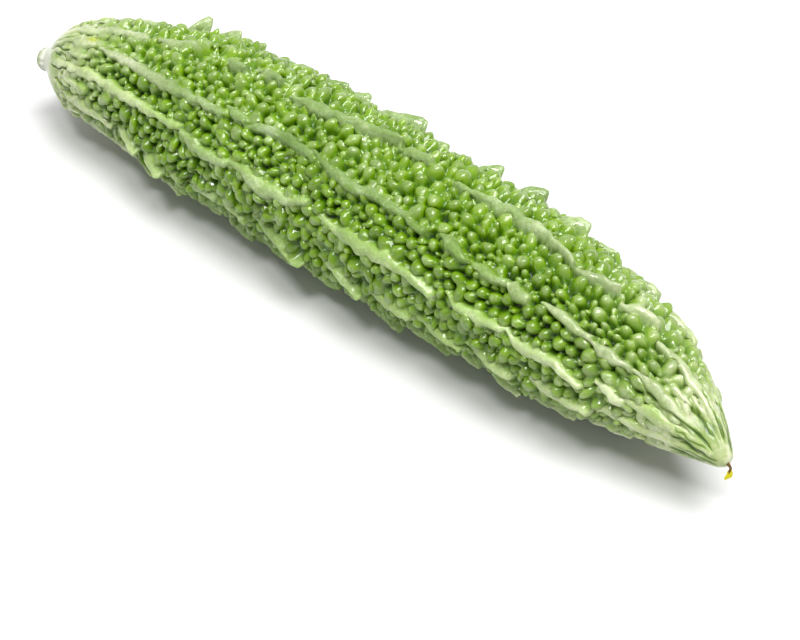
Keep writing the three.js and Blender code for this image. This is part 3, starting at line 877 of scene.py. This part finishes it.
# Both ends are pale all over, and towards them so are the bars. The wax that makes them so is worn
# thin in patches.
end_paleness = add(skin_tree, "ShaderNodeValToRGB", {}, {"Fac": share_of}, [
    (0.0, "#FFFFFF"), (1.0, "#FFFFFF"), (0.035, "#E8E8E8"), (0.08, "#A0A0A0"), (0.16, "#000000"),
    (0.76, "#000000"), (0.89, "#808080"), (0.96, "#E8E8E8")])
# Painted shade: the ends' colour darkens down into their creases and clefts.
end_colour_with_crease_shade = add(skin_tree, "ShaderNodeValToRGB", {}, {"Fac": rise_of},
                 [(0, "#2C480C"), (1, "#CCD0B0"), (0.5, "#768E40"), (0.85, "#B0BA8A")])
pale_bars = add(skin_tree, "ShaderNodeValToRGB", {}, {"Fac": share_of}, [
    (0.0, "#FFFFFF"), (1.0, "#FFFFFF"), (0.12, "#D0D0D0"), (0.2, "#909090"), (0.3, "#000000"),
    (0.66, "#000000"), (0.8, "#B0B0B0")])
pale_crest = add(skin_tree, "ShaderNodeMath", {"operation": "MULTIPLY"},
                 {0: pale_bars.outputs["Color"], 1: crest_of})
all_paleness = add(skin_tree, "ShaderNodeMath", {"operation": "MAXIMUM"},
                   {0: end_paleness.outputs["Color"], 1: pale_crest.outputs[0]})
worn = add(skin_tree, "ShaderNodeMapRange",
           {"From Min": 0.4, "From Max": 0.58, "To Min": 0.54, "To Max": 1.18},
           {"Value": skin_mottle.outputs[0]})
uneven_paleness = add(skin_tree, "ShaderNodeMath", {"operation": "MULTIPLY"},
                      {0: all_paleness.outputs[0], 1: worn.outputs[0]})
skin_colour = add(skin_tree, "ShaderNodeMix", {"data_type": "RGBA"}, {
    FACTOR: uneven_paleness.outputs[0], COLOUR_A: varied.outputs["Color"],
    COLOUR_B: end_colour_with_crease_shade.outputs["Color"]})

# The painted rim light on the bars' edges, the white wax round the stalk and the scar go over that
# in turn.
rim_light_paint = add(skin_tree, "ShaderNodeMath", {"operation": "MULTIPLY", 1: 0.7}, {0: rim_light_of})
ragged = add(skin_tree, "ShaderNodeTexNoise", {"Scale": 1 / (WAX_EDGE * MM), "Detail": 3.0},
             {"Vector": skin_place})
wax_reach = add(skin_tree, "ShaderNodeMath", {"operation": "MULTIPLY_ADD", 1: 0.03},
                {0: ragged.outputs["Fac"], 2: share_of})
neck_wax = add(skin_tree, "ShaderNodeValToRGB", {}, {"Fac": wax_reach.outputs[0]},
               [(0.0, "#FFFFFF"), (1.0, "#000000"), (0.022, "#E8E8E8"), (0.044, "#000000")])
covers = [(rim_light_paint.outputs[0], "#D2DCB4"), (neck_wax.outputs["Color"], "#CFD0C8"),
          (scar_of, "#A4B034")]
for cover, colour in covers:
    skin_colour = add(skin_tree, "ShaderNodeMix", {"data_type": "RGBA", COLOUR_B: linear(colour)},
                      {FACTOR: cover, COLOUR_A: skin_colour.outputs[MIXED_COLOUR]})

# Warts shine as if wet, and waxed parts half as much.
skin_grain = add(skin_tree, "ShaderNodeTexNoise",
                 {"Scale": 1 / (SKIN_GRAIN * MM), "Detail": 3.0, "Roughness": 0.6},
                 {"Vector": skin_place})
skin_bump = add(skin_tree, "ShaderNodeBump", {"Strength": 0.4, "Distance": 0.1 * MM},
                {"Height": skin_grain.outputs["Fac"]})
dull = add(skin_tree, "ShaderNodeMath", {"operation": "MAXIMUM"},
           {0: crest_of, 1: end_paleness.outputs["Color"]})
wet = add(skin_tree, "ShaderNodeMapRange",
          {"To Min": 1.0, "To Max": 0.5}, {"Value": dull.outputs[0]})
skin_shader = add(
    skin_tree,
    "ShaderNodeBsdfPrincipled",
    {"Roughness": 0.45, "IOR": 1.4, "Specular IOR Level": 0.25, "Subsurface Weight": 0.25,
     "Subsurface Scale": 1.1 * MM, "Subsurface Radius": (0.6, 1.0, 0.1), "Coat Roughness": 0.04,
     "Coat IOR": 1.5, "Sheen Weight": 0.03, "Sheen Roughness": 0.3,
     "Sheen Tint": linear("#E4F2B8")},
    {"Base Color": skin_colour.outputs[MIXED_COLOUR], "Normal": skin_bump.outputs["Normal"],
     "Coat Weight": wet.outputs[0]},
)
add(skin_tree, "ShaderNodeOutputMaterial", {}, {"Surface": skin_shader.outputs["BSDF"]})
fruit.data.materials.append(skin_material)
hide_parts("fruit")
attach(fruit, "root")

# ---- stem -------------------------------------------------------------------
# The stub of stalk that stays on the neck when the gourd is cut from the vine: a
# faintly ribbed nub of fibrous green tissue, grown fast to the fruit, with a
# bloom of white wax where it joins the neck.

# (distance from its far end, radius)
STUB_PROFILE = [
    (0, 0.5), (0.12, 1.3), (0.5, 2.4), (1.1, 3.2), (1.9, 3.7), (2.9, 3.95), (4.2, 4.05),
    (5.0, 3.8),
]
STUB_ROWS = 48
STUB_COLUMNS = 90
down = np.linspace(0, 1, STUB_ROWS) ** 1.4 * STUB_PROFILE[-1][0]  # closest at the cut end
stub_turn = np.arange(STUB_COLUMNS) * 2 * np.pi / STUB_COLUMNS
ribs = 0.022 * np.sin(9 * stub_turn) + 0.018 * np.sin(13 * stub_turn + 1.7)
stub_radius = through(STUB_PROFILE, down)[:, None] * (1 + ribs * smooth_step(down / 1.5)[:, None])
neck_along, neck_side, neck_up = axis_frame(NECK)
stub_out = np.cos(stub_turn)[None, :, None] * neck_up
stub_out = stub_out - np.sin(stub_turn)[None, :, None] * neck_side
stub_middle = axis_point(NECK) + TO_FRAME
stub_middle = stub_middle + (down - STEM_LENGTH + 0.02)[:, None, None] * neck_along
stub_grid = stub_middle + stub_radius[..., None] * stub_out
stub_fields = {"down": [np.tile((down / STEM_LENGTH)[:, None], STUB_COLUMNS)]}
stub = put_in_scene("stalk_stub", closed_skins("stalk_stub", [stub_grid], stub_fields))

# Stalk skin is matte and dull, mottled, and it whitens with wax towards the fruit.
STALK_MOTTLE = 1.4
stalk_material, stalk_tree = bare_material("waxed_stalk_skin")
stalk_place = add(stalk_tree, "ShaderNodeTexCoord").outputs["Object"]
down_of = add(stalk_tree, "ShaderNodeAttribute", {"attribute_name": "down"}).outputs["Fac"]
stalk_mottle = add(stalk_tree, "ShaderNodeTexNoise",
                   {"Scale": 1 / (STALK_MOTTLE * MM), "Detail": 3.0}, {"Vector": stalk_place})
uneven = add(stalk_tree, "ShaderNodeMath", {"operation": "MULTIPLY_ADD", 1: 0.5},
             {0: stalk_mottle.outputs["Fac"], 2: down_of})
stalk_colour = add(stalk_tree, "ShaderNodeValToRGB", {}, {"Fac": uneven.outputs[0]},
                   [(0.2, "#6E7D52"), (1.0, "#C2C4B6"), (0.5, "#8C9970"), (0.8, "#A6AF90")])
stalk_bump = add(stalk_tree, "ShaderNodeBump", {"Strength": 0.5, "Distance": 0.1 * MM},
                 {"Height": stalk_mottle.outputs["Fac"]})
stalk_shader = add(stalk_tree, "ShaderNodeBsdfPrincipled",
                   {"Roughness": 0.7, "Specular IOR Level": 0.3},
                   {"Base Color": stalk_colour.outputs["Color"],
                    "Normal": stalk_bump.outputs["Normal"]})
add(stalk_tree, "ShaderNodeOutputMaterial", {}, {"Surface": stalk_shader.outputs["BSDF"]})
stub.data.materials.append(stalk_material)
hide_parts("stem")
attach(stub, "root")

# ---- withered flower --------------------------------------------------------
# The flower that the fruit grew from dries up at its blossom end and still hangs
# there: a brown thread that bends down, with limp yellow shreds of petal.
HANG = np.array([0.1, -0.3, -0.95]) / np.linalg.norm([0.1, -0.3, -0.95])
LEFT_WAY = np.array([-0.735, -0.678, 0.0])
NEAR_WAY = np.array([0.52, -0.56, 0.0])
THREAD_THICKNESS = [(0, 0.5), (0.3, 0.4), (0.9, 0.26), (1, 0.08)]
# Each shred is (start down the hang, end down the hang, ways out at its middle to the left and to
# the near side, the same at its end, width).
SHREDS = [
    (0.4, 3.4, -0.2, 0.25, 0.1, 0.1, 0.75), (0.8, 3.9, 0.5, 0.3, 0.9, 0.0, 0.6),
    (0.3, 2.6, 0.1, -0.4, 0.4, -0.4, 0.55),
]
STRAND_ROWS = 40
STRAND_COLUMNS = 16
tip = axis_point(TIP) + TO_FRAME
tip_along = axis_frame(TIP)[0]
drop_start = tip + 1.4 * tip_along


def strand(knots, wide, thin, face):
    """Grid of a closed strand: an oval section, with its wide way square to the face, carried
    along a smooth line through the knots."""
    t = np.linspace(0, 1, STRAND_ROWS)
    knot_t = np.linspace(0, 1, len(knots))
    line = np.stack([through(np.stack([knot_t, axis], -1), t) for axis in np.array(knots).T], -1)
    forward = np.gradient(line, axis=0)
    forward /= np.linalg.norm(forward, axis=1, keepdims=True)
    across = np.cross(forward, face)
    across /= np.linalg.norm(across, axis=1, keepdims=True)
    outward = np.cross(across, forward)
    theta = np.arange(STRAND_COLUMNS) * 2 * np.pi / STRAND_COLUMNS
    width = through(wide, t)[:, None, None] * np.cos(theta)[None, :, None]
    depth = through(thin, t)[:, None, None] * np.sin(theta)[None, :, None]
    return line[:, None, :] + width * across[:, None, :] + depth * outward[:, None, :]


thread_knots = [
    tip - 0.6 * tip_along,
    tip + 0.8 * tip_along,
    drop_start + 0.5 * HANG,
    drop_start + 1.8 * HANG + 0.3 * LEFT_WAY,
    drop_start + 3.4 * HANG + 0.8 * LEFT_WAY,
]
strands = [strand(thread_knots, THREAD_THICKNESS, THREAD_THICKNESS, NEAR_WAY)]
petal_share = [np.zeros(strands[0].shape[:2])]
for start, end, middle_left, middle_near, end_left, end_near, wide in SHREDS:
    shred_root = drop_start + start * HANG
    shred_middle = drop_start + (start + end) / 2 * HANG
    shred_middle = shred_middle + middle_left * LEFT_WAY + middle_near * NEAR_WAY
    shred_end = drop_start + end * HANG + end_left * LEFT_WAY + end_near * NEAR_WAY
    width_at = [(0, 0.15), (0.35, wide * 0.8), (0.75, wide), (1, 0.12)]
    thickness_at = [(0, 0.1), (0.5, 0.12), (1, 0.06)]
    strands.append(strand([shred_root, shred_middle, shred_end], width_at, thickness_at, NEAR_WAY))
    shred_share = 0.75 + 0.25 * np.linspace(0, 1, STRAND_ROWS)
    petal_share.append(np.tile(shred_share[:, None], STRAND_COLUMNS))
flower_mesh = closed_skins("dried_flower", strands, {"petal": petal_share})
flower = put_in_scene("dried_flower", flower_mesh)

# Dried petal is papery and dull yellow, and the thread is brown.
petal_material, petal_tree = bare_material("dried_petal")
petal_of = add(petal_tree, "ShaderNodeAttribute", {"attribute_name": "petal"}).outputs["Fac"]
petal_colour = add(petal_tree, "ShaderNodeValToRGB", {}, {"Fac": petal_of},
                   [(0.0, "#5E4424"), (1.0, "#D2CC1E"), (0.5, "#8F7A22"), (0.78, "#B8AC18")])
petal_shader = add(petal_tree, "ShaderNodeBsdfPrincipled",
                   {"Roughness": 0.75, "Specular IOR Level": 0.2},
                   {"Base Color": petal_colour.outputs["Color"]})
add(petal_tree, "ShaderNodeOutputMaterial", {}, {"Surface": petal_shader.outputs["BSDF"]})
flower.data.materials.append(petal_material)
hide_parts("withered_flower")
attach(flower, "root")

# ---- camera -----------------------------------------------------------------
# It looks down on the fruit from the belly's hollow side, with the stem to the left.
VIEW_TURN = np.radians(42.68)  # of its right-hand way from +X
VIEW_RISE = np.radians(40.0)  # how steeply it looks down
VIEW_DISTANCE = 0.7  # metres
FRAME_WIDTH, FRAME_HEIGHT = 800, 640  # pixels
VIEW_FOCAL = 2291.0  # pixels of that frame
PIXEL_OF_MIDDLE = (356.2, 229.8)  # where the fruit's middle falls in it
SENSOR_WIDTH = 36  # millimetres
view_right = Vector((np.cos(VIEW_TURN), np.sin(VIEW_TURN), 0))
view_level = Vector((-np.sin(VIEW_TURN), np.cos(VIEW_TURN), 0))
view_ahead = view_level * np.cos(VIEW_RISE) - Vector((0, 0, 1)) * np.sin(VIEW_RISE)
view_up = view_right.cross(view_ahead)
fruit_middle = Vector((TO_FRAME + np.array([0, 0, AXIS_HEIGHT])) * MM)
camera = put_in_scene("camera", bpy.data.cameras.new("camera"))
camera.data.sensor_width = SENSOR_WIDTH
camera.data.lens = VIEW_FOCAL / FRAME_WIDTH * SENSOR_WIDTH
camera.location = fruit_middle - view_ahead * VIEW_DISTANCE
per_pixel = VIEW_DISTANCE / VIEW_FOCAL
aim_right = view_right * (FRAME_WIDTH / 2 - PIXEL_OF_MIDDLE[0]) * per_pixel
aim_down = view_up * (FRAME_HEIGHT / 2 - PIXEL_OF_MIDDLE[1]) * per_pixel
aim = fruit_middle + aim_right - aim_down
to_aim = (aim - camera.location).normalized()
across_view = to_aim.cross(view_up).normalized()
view_axes = Matrix((across_view, across_view.cross(to_aim), -to_aim)).transposed()
camera.matrix_world = Matrix.Translation(camera.location) @ view_axes.to_4x4()
bpy.context.scene.camera = camera

# ---- floor and light --------------------------------------------------------
# The stage: the gourd lies on white card that reaches past the frame, in a white
# room. A broad lamp stands high over it, a very wide one fills the shade, and
# two windows make the small glints on the warts.
FLOOR_REACH = 20.0  # metres from the middle to the edge
CARD = (0.66, 0.66, 0.66, 1)  # linear
floor_mesh = bpy.data.meshes.new("floor")
floor_corners = ((-1, -1), (1, -1), (1, 1), (-1, 1))
floor_corners = [(x * FLOOR_REACH, y * FLOOR_REACH, 0) for x, y in floor_corners]
floor_mesh.from_pydata(floor_corners, [], [(0, 1, 2, 3)])
floor = put_in_scene("floor", floor_mesh)
card_material = bpy.data.materials.new("white_card")
card_material.use_nodes = True
card_shader = card_material.node_tree.nodes["Principled BSDF"]
card_shader.inputs["Base Color"].default_value = CARD
card_shader.inputs["Roughness"].default_value = 0.8
floor_mesh.materials.append(card_material)

# The room is white to the camera, and dimmer as a light and in reflections.
world = bpy.data.worlds.new("white_room")
bpy.context.scene.world = world
world.use_nodes = True
room_tree = world.node_tree
room_tree.nodes.clear()
rays = add(room_tree, "ShaderNodeLightPath")
shiny = add(room_tree, "ShaderNodeMapRange", {"To Min": 0.24, "To Max": 0.48},
            {"Value": rays.outputs["Is Glossy Ray"]})
strength = add(room_tree, "ShaderNodeMix", {"data_type": "FLOAT", NUMBER_B: 1.0},
               {FACTOR: rays.outputs["Is Camera Ray"], NUMBER_A: shiny.outputs[0]})
backing = add(room_tree, "ShaderNodeBackground",
              {"Color": (1, 1, 1, 1)}, {"Strength": strength.outputs[0]})
add(room_tree, "ShaderNodeOutputWorld", {}, {"Surface": backing.outputs[0]})


def sun(name, towards, spread, power):
    """A far lamp of even light: the direction to it, how many degrees wide it looks, and its watts
    on each square metre."""
    lamp = bpy.data.lights.new(name, "SUN")
    lamp.angle = np.radians(spread)
    lamp.energy = power
    put_in_scene(name, lamp).rotation_euler = Vector(towards).to_track_quat("Z", "Y").to_euler()


sun("key", (0.25, 0.06, 1.0), 36, 3.55)
sun("window", (0.107, -0.366, 0.94), 12, 1.25)
sun("low window", (-0.45, -0.75, 0.45), 12, 0.22)
sun("fill", (-0.5, 0.1, 1.0), 140, 0.5)
bpy.context.scene.view_settings.view_transform = "Standard"
